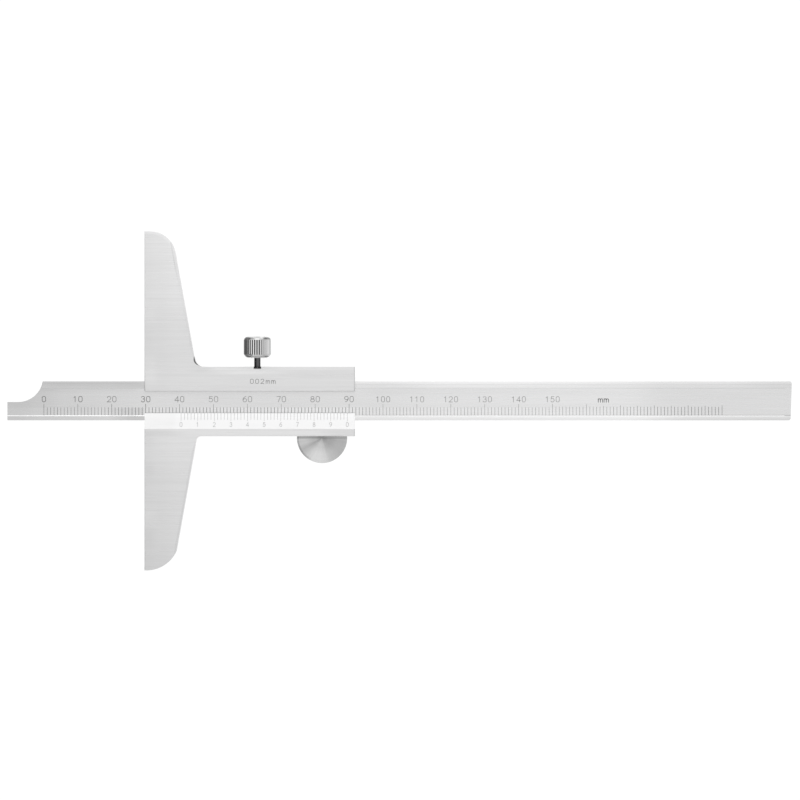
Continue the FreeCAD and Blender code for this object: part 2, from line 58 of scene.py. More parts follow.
# ------------------------------------------------------------------ node helpers
class Tree:
    """Short names for building one material's nodes. Positions are in millimetres."""

    def __init__(self, name):
        self.mat = bpy.data.materials.new(name)
        self.mat.use_nodes = True
        self.nt = self.mat.node_tree
        self.nt.nodes.clear()
        self.out = self.new("ShaderNodeOutputMaterial")
        self.bsdf = self.new("ShaderNodeBsdfPrincipled")
        self.link(self.bsdf.outputs[0], self.out.inputs[0])
        self.tc = self.new("ShaderNodeTexCoord")
        self.p = self.vmul(self.tc.outputs["Object"], (1000.0, 1000.0, 1000.0))
        self.n = self.tc.outputs["Normal"]

    def new(self, kind):
        return self.nt.nodes.new(kind)

    def link(self, a, b):
        self.nt.links.new(a, b)

    def put(self, sock, v):
        if isinstance(v, bpy.types.NodeSocket):
            self.link(v, sock)
        else:
            sock.default_value = v

    def math(self, op, a, b=0.0, c=0.0, clamp=False):
        n = self.new("ShaderNodeMath")
        n.operation = op
        n.use_clamp = clamp
        self.put(n.inputs[0], a)
        self.put(n.inputs[1], b)
        self.put(n.inputs[2], c)
        return n.outputs[0]

    def vec(self, op, a, b=(0.0, 0.0, 0.0)):
        n = self.new("ShaderNodeVectorMath")
        n.operation = op
        self.put(n.inputs[0], a)
        if op != "SCALE":
            self.put(n.inputs[1], b)
        return n.outputs["Value"] if op in ("DOT_PRODUCT", "LENGTH", "DISTANCE") else n.outputs[0]

    def vmul(self, a, b):
        return self.vec("MULTIPLY", a, b)

    def xyz(self, v):
        n = self.new("ShaderNodeSeparateXYZ")
        self.put(n.inputs[0], v)
        return n.outputs[0], n.outputs[1], n.outputs[2]

    def combine(self, x, y, z):
        n = self.new("ShaderNodeCombineXYZ")
        for s, v in zip(n.inputs, (x, y, z)):
            self.put(s, v)
        return n.outputs[0]

    def noise(self, vec, scale=1.0, detail=2.0, rough=0.5, distortion=0.0, seed=0.0):
        n = self.new("ShaderNodeTexNoise")
        n.noise_dimensions = "4D"
        self.put(n.inputs["Vector"], vec)
        n.inputs["W"].default_value = seed
        n.inputs["Scale"].default_value = scale
        n.inputs["Detail"].default_value = detail
        n.inputs["Roughness"].default_value = rough
        n.inputs["Distortion"].default_value = distortion
        return n.outputs[0]

    def remap(self, v, a, b, c, d, smooth=False, clamp=True):
        n = self.new("ShaderNodeMapRange")
        n.interpolation_type = "SMOOTHSTEP" if smooth else "LINEAR"
        n.clamp = clamp
        self.put(n.inputs[0], v)
        for i, x in enumerate((a, b, c, d)):
            n.inputs[i + 1].default_value = x
        return n.outputs[0]

    def mixf(self, f, a, b):
        n = self.new("ShaderNodeMix")
        n.data_type = "FLOAT"
        self.put(n.inputs[0], f)
        self.put(n.inputs[2], a)
        self.put(n.inputs[3], b)
        return n.outputs[0]

    def mixc(self, f, a, b, mode="MIX"):
        n = self.new("ShaderNodeMix")
        n.data_type = "RGBA"
        n.blend_type = mode
        n.clamp_factor = True
        self.put(n.inputs[0], f)
        self.put(n.inputs[6], a if isinstance(a, bpy.types.NodeSocket) else (*a, 1.0)[:4])
        self.put(n.inputs[7], b if isinstance(b, bpy.types.NodeSocket) else (*b, 1.0)[:4])
        return n.outputs[2]

    def gauss(self, v, mid, width):
        """A smooth bump of height 1 at mid."""
        d = self.math("DIVIDE", self.math("SUBTRACT", v, mid), width)
        return self.math("EXPONENT", self.math("MULTIPLY", self.math("MULTIPLY", d, d), -1.0))

    def steps(self, v, *pairs):
        """A curve through (value, result) pairs, eased between them."""
        out = pairs[0][1]
        for (a, fa), (b, fb) in zip(pairs, pairs[1:]):
            out = self.math("ADD", out, self.remap(v, a, b, 0.0, fb - fa, smooth=True))
        return out

    def tint(self, colour, factor):
        """A fixed colour times a factor that varies over the surface."""
        n = self.new("ShaderNodeVectorMath")
        n.operation = "SCALE"
        n.inputs[0].default_value = colour
        self.put(n.inputs["Scale"], factor)
        return n.outputs[0]

    def bump(self, height, strength, distance_mm, normal=None):
        n = self.new("ShaderNodeBump")
        n.inputs["Strength"].default_value = strength
        n.inputs["Distance"].default_value = distance_mm * MM
        self.put(n.inputs["Height"], height)
        if normal is not None:
            self.link(normal, n.inputs["Normal"])
        return n.outputs[0]

    def to_world(self, v):
        n = self.new("ShaderNodeVectorTransform")
        n.vector_type = "VECTOR"
        n.convert_from, n.convert_to = "OBJECT", "WORLD"
        self.put(n.inputs[0], v)
        return n.outputs[0]


def use(node, mat, slot=None):
    """Puts a material on every slot of a CAD node."""
    o = NODES[node]
    for s in o.material_slots:
        s.material = mat
    return o


# ------------------------------------------------------------------ metals
def brushed(name, base, rough, streak=0.03, fine=0.03, broad=0.02, bump=0.2, aniso=0.6, seed=0.0,
            tone=None):
    """Ground and brushed steel. The grain runs along X on every face that has an X direction,
    and the faces square to X are lapped, with a finer and more even texture. tone is given the
    tree and the three coordinates, and returns a slow factor on the colour."""
    t = Tree(name)
    nx, ny, nz = t.xyz(t.n)
    x, y, z = t.xyz(t.p)
    lapped = t.remap(t.math("ABSOLUTE", nx), 0.80, 0.95, 0.0, 1.0, smooth=True)
    s_wide = t.noise(t.vmul(t.p, (0.010, 0.85, 0.85)), 1.0, 0.0, 0.5, seed=seed + 1.3)
    s_mid = t.noise(t.vmul(t.p, (0.028, 2.6, 2.6)), 1.0, 1.0, 0.55, seed=seed)
    s_fine = t.noise(t.vmul(t.p, (0.16, 8.5, 8.5)), 1.0, 1.0, 0.6, seed=seed + 3.1)
    s_hair = t.noise(t.vmul(t.p, (0.07, 5.2, 5.2)), 1.0, 0.0, 0.5, seed=seed + 5.7)
    cloud = t.noise(t.vmul(t.p, (0.05, 0.05, 0.05)), 1.0, 2.0, 0.5, seed=seed + 9.3)
    lap = t.noise(t.vmul(t.p, (6.0, 6.0, 6.0)), 1.0, 3.0, 0.6, seed=seed + 12.0)
    # colour
    f = t.math("MULTIPLY_ADD", t.math("SUBTRACT", s_mid, 0.5), 2 * streak, 1.0)
    f = t.math("MULTIPLY_ADD", t.math("SUBTRACT", s_wide, 0.5), 1.6 * streak, f)
    f = t.math("MULTIPLY_ADD", t.math("SUBTRACT", s_fine, 0.5), 2 * fine, f)
    f = t.math("MULTIPLY_ADD", t.math("SUBTRACT", cloud, 0.5), 2 * broad, f)
    # a few long hairlines, brighter and darker than the rest
    f = t.math("MULTIPLY_ADD", t.remap(s_hair, 0.66, 0.78, 0.0, 1.0, smooth=True), 0.035, f)
    f = t.math("MULTIPLY_ADD", t.remap(s_hair, 0.34, 0.24, 0.0, 1.0, smooth=True), -0.030, f)
    g = t.math("MULTIPLY_ADD", t.math("SUBTRACT", lap, 0.5), 0.05, 1.0)
    f = t.mixf(lapped, f, g)
    if tone is not None:
        f = t.math("MULTIPLY", f, tone(t, x, y, z))
    t.link(t.tint(base, f), t.bsdf.inputs["Base Color"])
    # roughness
    r = t.math("MULTIPLY_ADD", t.math("SUBTRACT", s_mid, 0.5), 0.10, rough)
    r = t.math("MULTIPLY_ADD", t.math("SUBTRACT", s_fine, 0.5), 0.10, r)
    r = t.mixf(lapped, r, t.math("MULTIPLY_ADD", t.math("SUBTRACT", lap, 0.5), 0.06, rough * 0.8))
    t.link(t.math("MAXIMUM", r, 0.08), t.bsdf.inputs["Roughness"])
    # grain
    h = t.math("MULTIPLY_ADD", s_fine, 0.6, t.math("MULTIPLY", s_mid, 0.8))
    h = t.math("MULTIPLY_ADD", s_hair, 0.5, h)
    h = t.mixf(lapped, h, t.math("MULTIPLY", lap, 0.25))
    t.link(t.bump(h, bump, 0.012), t.bsdf.inputs["Normal"])
    t.bsdf.inputs["Metallic"].default_value = 1.0
    t.bsdf.inputs["Anisotropic"].default_value = aniso
    # grooves run along X, so the highlight spreads across them
    tang = t.vec("CROSS_PRODUCT", t.n, (1.0, 0.0, 0.0))
    tang = t.vec("ADD", tang, (0.0, 0.002, 0.0))
    t.link(t.to_world(tang), t.bsdf.inputs["Tangent"])
    return t


def turned(name, base, rough, centre, axis, pitch, aniso=0.7, bump=0.25, var=0.04, seed=0.0, tone=None):
    """Steel turned on a lathe: fine rings about a centre line, highlight spread across them."""
    t = Tree(name)
    q = t.vec("SUBTRACT", t.p, centre)
    ax = {"Y": (0.0, 1.0, 0.0), "Z": (0.0, 0.0, 1.0)}[axis]
    flat = {"Y": (1.0, 0.0, 1.0), "Z": (1.0, 1.0, 0.0)}[axis]
    radial = t.vmul(q, flat)
    rad = t.vec("LENGTH", radial)
    x, y, z = t.xyz(q)
    length = {"Y": y, "Z": z}[axis]
    # rings: noise read along the radius and the length only, hardly round the centre
    slow = t.vmul(t.vec("NORMALIZE", radial), (0.35, 0.35, 0.35))
    sx, sy, sz = t.xyz(slow)
    ring_p = t.combine(t.math("ADD", t.math("MULTIPLY", rad, pitch), sx),
                       t.math("MULTIPLY", length, pitch),
                       {"Y": sz, "Z": sy}[axis])
    rings = t.noise(ring_p, 1.0, 2.0, 0.6, seed=seed)
    coarse = t.noise(t.vmul(ring_p, (0.22, 0.22, 1.0)), 1.0, 2.0, 0.5, seed=seed + 4.0)
    f = t.math("MULTIPLY_ADD", t.math("SUBTRACT", rings, 0.5), 2 * var, 1.0)
    f = t.math("MULTIPLY_ADD", t.math("SUBTRACT", coarse, 0.5), 1.4 * var, f)
    if tone is not None:
        f = t.math("MULTIPLY", f, tone(t, q, rad))
    t.link(t.tint(base, f), t.bsdf.inputs["Base Color"])
    r = t.math("MULTIPLY_ADD", t.math("SUBTRACT", rings, 0.5), 0.12, rough)
    t.link(t.math("MAXIMUM", r, 0.06), t.bsdf.inputs["Roughness"])
    h = t.math("MULTIPLY_ADD", coarse, 0.6, rings)
    t.link(t.bump(h, bump, 0.010), t.bsdf.inputs["Normal"])
    t.bsdf.inputs["Metallic"].default_value = 1.0
    t.bsdf.inputs["Anisotropic"].default_value = aniso
    c = t.vec("CROSS_PRODUCT", ax, radial)
    tang = t.vec("CROSS_PRODUCT", t.n, t.vec("NORMALIZE", c))
    t.link(t.to_world(tang), t.bsdf.inputs["Tangent"])
    return t


def plain_metal(name, base, rough, scale, var=0.06, bump=0.15, metallic=1.0, rvar=0.12, seed=0.0, detail=3.0):
    t = Tree(name)
    a = t.noise(t.vmul(t.p, scale), 1.0, detail, 0.6, seed=seed)
    b = t.noise(t.vmul(t.p, tuple(s * 4.3 for s in scale)), 1.0, 2.0, 0.6, seed=seed + 2.0)
    f = t.math("MULTIPLY_ADD", t.math("SUBTRACT", a, 0.5), 2 * var, 1.0)
    f = t.math("MULTIPLY_ADD", t.math("SUBTRACT", b, 0.5), var, f)
    t.link(t.tint(base, f), t.bsdf.inputs["Base Color"])
    r = t.math("MULTIPLY_ADD", t.math("SUBTRACT", a, 0.5), rvar, rough)
    t.link(t.math("MAXIMUM", r, 0.05), t.bsdf.inputs["Roughness"])
    t.link(t.bump(t.math("MULTIPLY_ADD", b, 0.5, a), bump, 0.010), t.bsdf.inputs["Normal"])
    t.bsdf.inputs["Metallic"].default_value = metallic
    return t


def fillet_centre():
    """Centre of the upper wing's root fillet."""
    n = math.hypot(WING_SLOPE, 1.0)
    u, v = (-WING_SLOPE / n, 1.0 / n), (1.0, 0.0)
    half = math.acos(u[0] * v[0] + u[1] * v[1]) / 2
    w = (u[0] + v[0], u[1] + v[1])
    m = math.hypot(*w)
    d = FILLET_UP / math.sin(half)
    return WING_ROOT + w[0] / m * d, SLIDER_TOP + w[1] / m * d


def along(t, f, mask, amount):
    """f times (1 + mask * amount)."""
    return t.math("MULTIPLY", f, t.math("MULTIPLY_ADD", mask, amount, 1.0))


def wing_end(t, x, y):
    """Distance inwards from the upper wing's tapered side and its rounded end, in mm."""
    s = math.hypot(WING_SLOPE, 1.0)
    side = t.math("MULTIPLY", t.math("SUBTRACT", t.math("MULTIPLY_ADD", y, -WING_SLOPE,
                                                       WING_ROOT + WING_SLOPE * SLIDER_TOP), x), 1.0 / s)
    # the end's arc touches the top edge and the tapered side
    cy = BASE_HALF - WING_END_R
    cx = WING_ROOT + WING_SLOPE * SLIDER_TOP - WING_SLOPE * cy - WING_END_R * s
    dx, dy = t.math("SUBTRACT", x, cx), t.math("SUBTRACT", y, cy)
    arc = t.math("SUBTRACT", WING_END_R,
                 t.math("SQRT", t.math("ADD", t.math("MULTIPLY", dx, dx), t.math("MULTIPLY", dy, dy))))
    round_off = t.math("MULTIPLY", t.remap(dx, -0.2, 0.2, 0.0, 1.0), t.remap(dy, -0.2, 0.2, 0.0, 1.0))
    top = t.math("SUBTRACT", BASE_HALF, y)
    return side, t.mixf(round_off, t.math("MINIMUM", side, top), arc)


def frame_tone(t, x, y, z):
    """Painted light and shade: the wings darken downwards and towards the measuring face, the wall of
    the upper fillet carries painted shade, and the edges that face +Y carry a narrow painted highlight."""
    def mul(a, b):
        return t.math("MULTIPLY", a, b)

    # painted light and shade: the frame darker downwards and towards the measuring face, lighter up the upper wing
    f = t.steps(y, (-49.0, 0.90), (-42.0, 0.92), (-36.0, 0.94), (-24.0, 0.955), (-12.0, 1.015),
                (-8.0, 1.02), (2.0, 0.985), (12.0, 0.98), (20.0, 0.985), (34.0, 1.05), (48.0, 1.09))
    f = mul(f, t.steps(x, (0.0, 0.95), (4.0, 0.975), (10.0, 1.01)))
    # lighter and darker patches along the measuring face
    face = t.remap(x, 1.5, 4.5, 1.0, 0.0, smooth=True)
    for mid, width, amount in ((-40.0, 3.5, -0.035), (-34.0, 2.5, 0.045), (-20.0, 2.5, -0.04),
                               (-12.0, 2.5, -0.03), (7.5, 3.3, 0.045), (12.5, 2.0, 0.03), (25.5, 3.0, 0.035)):
        f = along(t, f, mul(face, t.gauss(y, mid, width)), amount)
    lip = mul(t.remap(y, -8.5, -9.0, 0.0, 1.0, smooth=True), t.remap(y, -10.6, -10.2, 0.0, 1.0))
    f = along(t, f, mul(lip, t.steps(x, (7.0, -0.055), (14.0, 0.0), (20.0, 0.02), (50.0, 0.01), (57.0, -0.055))), 1.0)
    # the slider's upper edge: a painted shadow of the knob, painted shade next to the upper wing's root, and painted
    # light bands along it
    slider = t.remap(x, 18.5, 21.0, 0.0, 1.0, smooth=True)
    band = mul(t.remap(y, 8.95, 9.15, 0.0, 1.0), t.remap(y, 10.1, 10.3, 1.0, 0.0))
    f = along(t, f, mul(band, t.math("MULTIPLY_ADD", t.gauss(x, 34.5, 4.5), -0.06, mul(slider, 0.045))), 1.0)
    top = t.remap(y, 7.9, 8.7, 0.0, 1.0, smooth=True)
    f = along(t, f, mul(mul(top, t.remap(y, 10.1, 10.3, 1.0, 0.0)), t.gauss(x, 16.5, 2.5)), -0.04)
    f = along(t, f, mul(t.gauss(x, 2.0, 3.5), t.gauss(y, 7.5, 3.5)), 0.03)
    f = along(t, f, mul(t.gauss(x, 31.0, 8.5), t.gauss(y, 8.3, 0.55)), 0.08)
    f = along(t, f, mul(t.remap(x, 40.0, 44.0, 0.0, 1.0, smooth=True), t.gauss(y, 8.3, 0.55)), -0.02)
    # a painted dark spot of shade round the lock screw where it enters the frame, and a painted dark line of shade at
    # the slider's bevelled end
    off = t.math("ABSOLUTE", t.math("SUBTRACT", x, LOCK_AXIS[0] + 0.08))
    spot = mul(t.remap(off, 1.03, 1.16, 1.0, 0.0),
               t.math("MULTIPLY_ADD", t.remap(y, 9.62, 9.74, 0.0, 1.0, smooth=True),
                      t.steps(off, (0.08, 0.08), (0.30, 0.19)), t.steps(y, (9.32, 0.0), (9.45, 0.80))))
    f = along(t, f, mul(spot, t.remap(y, 10.6, 10.8, 1.0, 0.0)), -1.0)
    f = along(t, f, t.remap(x, 61.65, 61.80, 0.0, 1.0), -0.20)
    # the upper wing's taper: a painted line of shade, and a painted highlight outside it
    side, rim = wing_end(t, x, y)
    upper = t.steps(y, (34.0, 0.0), (40.3, 1.0), (46.0, 1.0), (47.5, 0.0))
    f = along(t, f, mul(upper, t.gauss(side, 0.84, 0.14)), -0.13)
    f = along(t, f, mul(t.remap(y, 43.0, 46.0, 0.0, 1.0, smooth=True),
                        t.remap(rim, 0.75, 0.95, 1.0, 0.0)), 0.05)
    # painted shade: a dark crescent in the upper fillet, where its concave wall sits in shade
    cx, cy = fillet_centre()
    dx, dy = t.math("SUBTRACT", cx, x), t.math("SUBTRACT", cy, y)
    rad = t.math("SQRT", t.math("ADD", mul(dx, dx), mul(dy, dy)))
    ang = t.math("ARCTAN2", dy, dx)             # 0 at the wing's side, pi/2 at the slider's edge
    width = t.math("MULTIPLY_ADD", t.gauss(ang, 0.42, 0.50), 0.36, FILLET_UP - 0.02)
    inside = t.remap(t.math("SUBTRACT", rad, width), -0.05, 0.05, 1.0, 0.0, smooth=True)
    near = mul(t.remap(dx, -0.4, -0.1, 0.0, 1.0), t.remap(dy, -0.9, -0.5, 0.0, 1.0))
    return along(t, f, mul(inside, near), -0.86)


def beam_tone(t, x, y, z):
    """Painted light and shade: darker at the tongue than at the free end, most of all on the two lands,
    with a painted reflection lightest about two thirds of the way along, and painted shade next to the frame."""
    def mul(a, b):
        return t.math("MULTIPLY", a, b)

    f = t.steps(x, (-38.0, 0.78), (-30.0, 0.825), (-23.0, 0.880), (-17.0, 0.905), (-10.0, 0.935),
                (4.0, 0.985), (40.0, 0.997), (67.0, 1.022), (95.0, 1.068), (131.0, 1.088), (141.0, 1.080),
                (155.0, 1.008), (163.0, 0.995), (187.0, 1.003))
    upper = t.remap(y, LAND_UP - 0.1, LAND_UP + 0.1, 0.0, 1.0, smooth=True)
    lower = t.remap(y, LAND_LOW - 0.22, LAND_LOW - 0.16, 1.0, 0.0, smooth=True)
    f = mul(f, t.mixf(upper, 1.0, t.steps(x, (-31.0, 0.975), (-23.0, 0.905), (-12.0, 0.885), (-2.5, 0.85),
                                          (20.0, 0.97), (70.0, 1.030), (92.0, 1.07), (125.0, 1.04),
                                          (140.0, 1.010), (170.0, 1.03), (188.0, 0.965))))
    f = mul(f, t.mixf(lower, 1.0, t.steps(x, (-31.0, 1.045), (-23.0, 0.985), (-12.0, 0.985), (-2.5, 0.83),
                                          (20.0, 0.97), (70.0, 1.060), (125.0, 1.055), (147.0, 1.09),
                                          (163.0, 1.00), (188.0, 0.96))))
    # painted light and shade on the strip: between the marks a little lighter, darker just outside the frame, above
    # them a little darker
    marks = mul(t.remap(y, -2.2, -1.9, 1.0, 0.0, smooth=True), t.remap(y, LAND_LOW - 0.02, LAND_LOW, 0.0, 1.0))
    f = along(t, f, mul(marks, t.steps(x, (-28.0, 0.055), (-23.0, 0.035), (-18.0, 0.02), (-12.5, 0.045),
                                       (-8.5, -0.01), (-6.0, -0.05), (-0.6, -0.06), (0.3, 0.05), (20.0, 0.055),
                                       (24.0, 0.09), (34.0, 0.07), (44.0, 0.09), (58.0, 0.08), (66.0, 0.045),
                                       (150.0, 0.035), (165.0, 0.0))), 1.0)
    f = along(t, f, mul(t.gauss(y, 2.6, 0.9), t.steps(x, (62.0, 0.0), (70.0, 1.0), (125.0, 1.0),
                                                     (150.0, 0.0))), -0.03)
    # towards the tongue, painted light and shade soften the line where the upper land runs into the strip, and darken
    # a line near the beam's upper edge
    left = t.remap(x, -3.0, -0.5, 1.0, 0.0)
    f = along(t, f, mul(left, mul(t.gauss(y, 3.2, 0.45), t.remap(y, LAND_UP - 0.1, LAND_UP, 1.0, 0.0))), -0.055)
    f = along(t, f, mul(left, t.math("MULTIPLY_ADD", t.gauss(y, 3.9, 0.3), 0.025,
                                     t.math("MULTIPLY", t.gauss(y, 5.1, 0.16), -0.06))), 1.0)
    # the step down to the lower land, and the upper edge of the free length, catch the light
    step = mul(t.remap(y, LAND_LOW - 0.20, LAND_LOW - 0.17, 0.0, 1.0), t.remap(y, LAND_LOW, LAND_LOW + 0.02, 1.0, 0.0))
    f = along(t, f, mul(step, t.steps(x, (-15.0, 0.25), (-11.0, 0.14), (-7.0, 0.03), (-2.8, 0.03), (-2.2, 0.21),
                                      (58.0, 0.17), (61.5, -0.15))), 1.0)
    f = along(t, f, mul(mul(t.gauss(y, -4.78, 0.28), t.remap(y, -4.50, -4.47, 1.0, 0.0)),
                        t.remap(x, 60.0, 63.0, 0.0, 1.0)), 0.065)
    # painted shade and light lines along the lands' steps on the free length and at its end
    free = t.remap(x, 60.0, 62.0, 0.0, 1.0)
    for mid, width, amount in ((4.78, 0.14, -0.04), (3.86, 0.12, -0.05), (-4.24, 0.14, -0.19), (-4.66, 0.10, 0.075),
                               (-5.72, 0.08, -0.12)):
        f = along(t, f, mul(free, t.gauss(y, mid, width)), amount)
    end = t.remap(x, 143.0, 152.0, 0.0, 1.0)
    for mid, width, amount in ((-4.64, 0.09, 0.10), (-5.66, 0.12, -0.06)):
        f = along(t, f, mul(end, t.gauss(y, mid, width)), amount)
    return along(t, f, mul(t.remap(y, 5.0, 5.12, 0.0, 1.0), free), 0.09)


def rest_tone(t, q, rad):
    """Painted reflection of a faced disc: bright sectors towards its lowest point, dark to the right, and painted
    shade towards the centre.
    """
    x, y, z = t.xyz(q)
    a = t.math("ARCTAN2", y, x)                 # 0 to -180 degrees on the half that is left
    r = math.radians
    f = t.math("MULTIPLY_ADD", t.gauss(a, r(-104.0), r(27.0)), 0.47, 0.815)
    f = t.math("MULTIPLY_ADD", t.gauss(a, r(-164.0), r(11.0)), 0.20, f)
    f = t.math("MULTIPLY_ADD", t.gauss(a, r(-128.0), r(7.0)), 0.05, f)
    f = t.math("MULTIPLY_ADD", t.gauss(a, r(-62.0), r(16.0)), 0.05, f)
    # fine rays between the sectors
    ray = t.noise(t.combine(t.math("MULTIPLY", t.math("COSINE", a), 9.0),
                            t.math("MULTIPLY", t.math("SINE", a), 9.0), 0.0), 1.0, 1.0, 0.5, seed=77.0)
    f = t.math("MULTIPLY_ADD", t.math("SUBTRACT", ray, 0.5), 0.10, f)
    for mid, width, amount in ((-104.0, 10.0, -0.075), (-77.0, 9.0, 0.065), (-155.0, 9.0, -0.08), (-177.5, 5.0, 0.18),
                               (-14.0, 14.0, -0.04)):
        f = along(t, f, t.gauss(a, r(mid), r(width)), amount)
    f = t.math("MULTIPLY", f, t.steps(rad, (0.3, 0.69), (2.2, 0.875), (5.0, 1.03)))
    # the shaded line under the slider
    return t.math("MULTIPLY", f, t.steps(y, (-0.40, 1.0), (-0.10, 0.80)))


def knob_tone(t, q, rad):
    """Painted light and shade: painted shade in the knurl's grooves, painted highlights and shade on the plain rim
    and its rounded edges, and the side turned to -X in painted shade. The shade stays put when the knob turns, so it
    is found from the world direction."""
    def mul(a, b):
        return t.math("MULTIPLY", a, b)

    x, y, z = t.xyz(q)
    u = t.math("DIVIDE", t.xyz(t.to_world(t.vmul(q, (1.0, 0.0, 1.0))))[0], KNOB_R)
    knurled = mul(t.remap(y, KNOB_KNURL[0], KNOB_KNURL[0] + 0.15, 0.0, 1.0),
                  t.remap(y, KNOB_KNURL[1] - 0.05, KNOB_KNURL[1] + 0.02, 1.0, 0.0))
    # depth below the knob's own outline, which rounds off towards the frame
    outline = KNOB_R
    for (y0, r0), (y1, r1) in zip(KNOB_FORM, KNOB_FORM[1:]):
        outline = t.math("ADD", outline, t.remap(y, y0, y1, r0 - r1, 0.0))
    groove = mul(t.remap(t.math("SUBTRACT", outline, rad), 0.01, 0.07, 0.0, 1.0), knurled)
    # the grooves' shallow ends on the rounded rim, where only their angle tells them apart
    turn = t.math("ARCTAN2", x, z)
    tooth = t.math("FRACT", t.math("MULTIPLY_ADD", turn, KNOB_TEETH / math.tau, 100.5 - KNOB_PHASE * KNOB_TEETH / 360.0))
    off = t.math("ABSOLUTE", t.math("SUBTRACT", tooth, 0.5))
    ends = mul(t.remap(off, 0.24, 0.34, 0.0, 1.0), mul(t.remap(y, -3.0, -2.9, 0.0, 1.0), t.remap(y, -2.7, -2.45, 1.0, 0.0)))
    groove = t.math("MAXIMUM", groove, t.math("MULTIPLY", ends, 0.25))
    # painted shade in the grooves, deepest on the left, less in the middle, turning to a painted highlight on the
    # right
    f = t.math("SUBTRACT", 1.0, mul(groove, t.steps(u, (-0.75, 0.80), (-0.64, 0.97), (-0.35, 0.97), (-0.28, 0.90),
                                                    (-0.20, 0.74), (0.0, 0.66), (0.17, 0.65), (0.32, 0.24),
                                                    (0.46, -0.11), (0.61, -0.28), (0.75, -0.10))))
    # lands, from the shaded left to the bright middle
    f = mul(f, t.steps(u, (-0.95, 0.12), (-0.82, 0.18), (-0.74, 0.40), (-0.66, 0.50), (-0.57, 0.90), (-0.42, 1.12),
                       (-0.27, 1.22), (-0.13, 1.06), (0.10, 1.01), (0.26, 1.07), (0.45, 0.93), (0.66, 0.90),
                       (0.80, 1.02), (0.92, 0.78)))
    # the plain rim, darker, with painted highlights; its rounded edges in painted shade at both sides
    f = mul(f, t.steps(y, (1.93, 1.0), (2.0, 0.78), (2.4, 0.80), (2.6, 0.93)))
    f = along(t, f, mul(t.remap(y, 2.1, 2.2, 0.0, 1.0), t.gauss(u, 0.36, 0.14)), 0.30)
    f = along(t, f, mul(t.remap(y, -3.15, -3.05, 1.0, 0.0), t.gauss(u, 0.0, 0.22)), 0.45)
    top = t.math("MULTIPLY", t.gauss(y, 2.42, 0.26), t.steps(u, (-0.90, 0.35), (-0.70, 0.50), (-0.62, 0.70), (-0.50, 0.68),
                                                             (-0.42, 0.48), (-0.35, 0.48), (-0.15, 0.0), (0.40, 0.0),
                                                             (0.52, 0.60), (0.62, 0.80), (0.70, 0.78), (0.80, 0.62)))
    low = t.math("MULTIPLY", t.gauss(y, -2.95, 0.20), t.steps(u, (-0.85, 0.90), (-0.60, 0.97), (-0.50, 0.80), (-0.40, 0.50),
                                                              (-0.25, 0.30), (0.0, 0.12), (0.35, 0.20), (0.50, 0.35),
                                                              (0.62, 0.80), (0.72, 0.85), (0.85, 0.75)))
    return mul(f, mul(t.math("SUBTRACT", 1.0, top), t.math("SUBTRACT", 1.0, low)))


def stud_tone(t, q, rad):
    """Painted light and shade: black from the side, greyer along the middle, whichever way the screw is turned."""
    u = t.math("DIVIDE", t.xyz(t.to_world(t.vmul(q, (1.0, 0.0, 1.0))))[0], NECK_R)
    return t.steps(u, (-0.80, 0.10), (-0.50, 0.20), (-0.25, 0.70), (0.05, 1.15), (0.45, 1.10), (0.75, 0.30))


def vernier_tone(t, x, y, z):
    """Painted shade: a thin dark line where the bevel's edge meets the beam, and a little darker near the measuring
    face and down the bevel.
    """
    f = t.remap(y, VERNIER_EDGE - 0.22, VERNIER_EDGE, 1.0, 0.35, smooth=True)
    f = t.math("MULTIPLY", f, t.steps(x, (8.0, 0.970), (10.5, 1.0)))
    return t.math("MULTIPLY", f, t.steps(y, (-8.3, 0.95), (-7.0, 0.94), (-5.6, 0.95), (-4.4, 0.965)))


frame_steel = brushed("frame_steel", (0.759, 0.758, 0.760), 0.30, streak=0.042, fine=0.03, broad=0.02,
                      bump=0.18, aniso=0.6, seed=1.0, tone=frame_tone)
beam_steel = brushed("beam_steel", (0.752, 0.751, 0.753), 0.28, streak=0.022, fine=0.02, broad=0.012,
                     bump=0.12, aniso=0.55, seed=21.0, tone=beam_tone)
vernier_steel = brushed("vernier_satin", (0.893, 0.892, 0.894), 0.40, streak=0.010, fine=0.012, broad=0.008,
                        bump=0.08, aniso=0.2, seed=41.0, tone=vernier_tone)
rest_steel = turned("turned_steel", (0.585, 0.585, 0.585), 0.25, (REST_C[0], REST_C[1], 0.0), "Z", 9.0,
                    aniso=0.8, bump=0.18, var=0.03, seed=3.0, tone=rest_tone)
chrome = turned("knob_chrome", (0.66, 0.66, 0.66), 0.14, (LOCK_AXIS[0], 16.0, LOCK_AXIS[1]), "Y", 7.0,
                aniso=0.3, bump=0.08, var=0.02, seed=8.0, tone=knob_tone)
# the rim next to the frame is matt
chrome.link(chrome.remap(chrome.xyz(chrome.p)[1], 12.86, 13.0, 0.15, 1.0), chrome.bsdf.inputs["Metallic"])
black = turned("black_oxide", (0.10, 0.10, 0.103), 0.30, (LOCK_AXIS[0], 10.0, LOCK_AXIS[1]), "Y", 8.0,
               aniso=0.2, bump=0.12, var=0.15, seed=13.0, tone=stud_tone)
brass = turned("pad_brass", (0.80, 0.60, 0.27), 0.25, (LOCK_AXIS[0], 7.0, LOCK_AXIS[1]), "Y", 8.0,
               aniso=0.4, bump=0.15, var=0.05, seed=17.0)
bronze = plain_metal("leaf_bronze", (0.66, 0.42, 0.24), 0.26, (0.08, 2.5, 2.5), seed=5.0)
screw_steel = plain_metal("screw_steel", (0.52, 0.52, 0.53), 0.28, (2.5, 2.5, 1.0), seed=6.0)

use("base_frame", frame_steel.mat)
use("beam", beam_steel.mat)
use("vernier_plate", vernier_steel.mat)
use("thumb_rest", rest_steel.mat)
use("lock_screw_knob", chrome.mat)
use("lock_screw_stud", black.mat)
use("lock_pad", brass.mat)
use("gib_spring", bronze.mat)
use("vernier_screws", screw_steel.mat)
use("thumb_rest_dowels", screw_steel.mat)


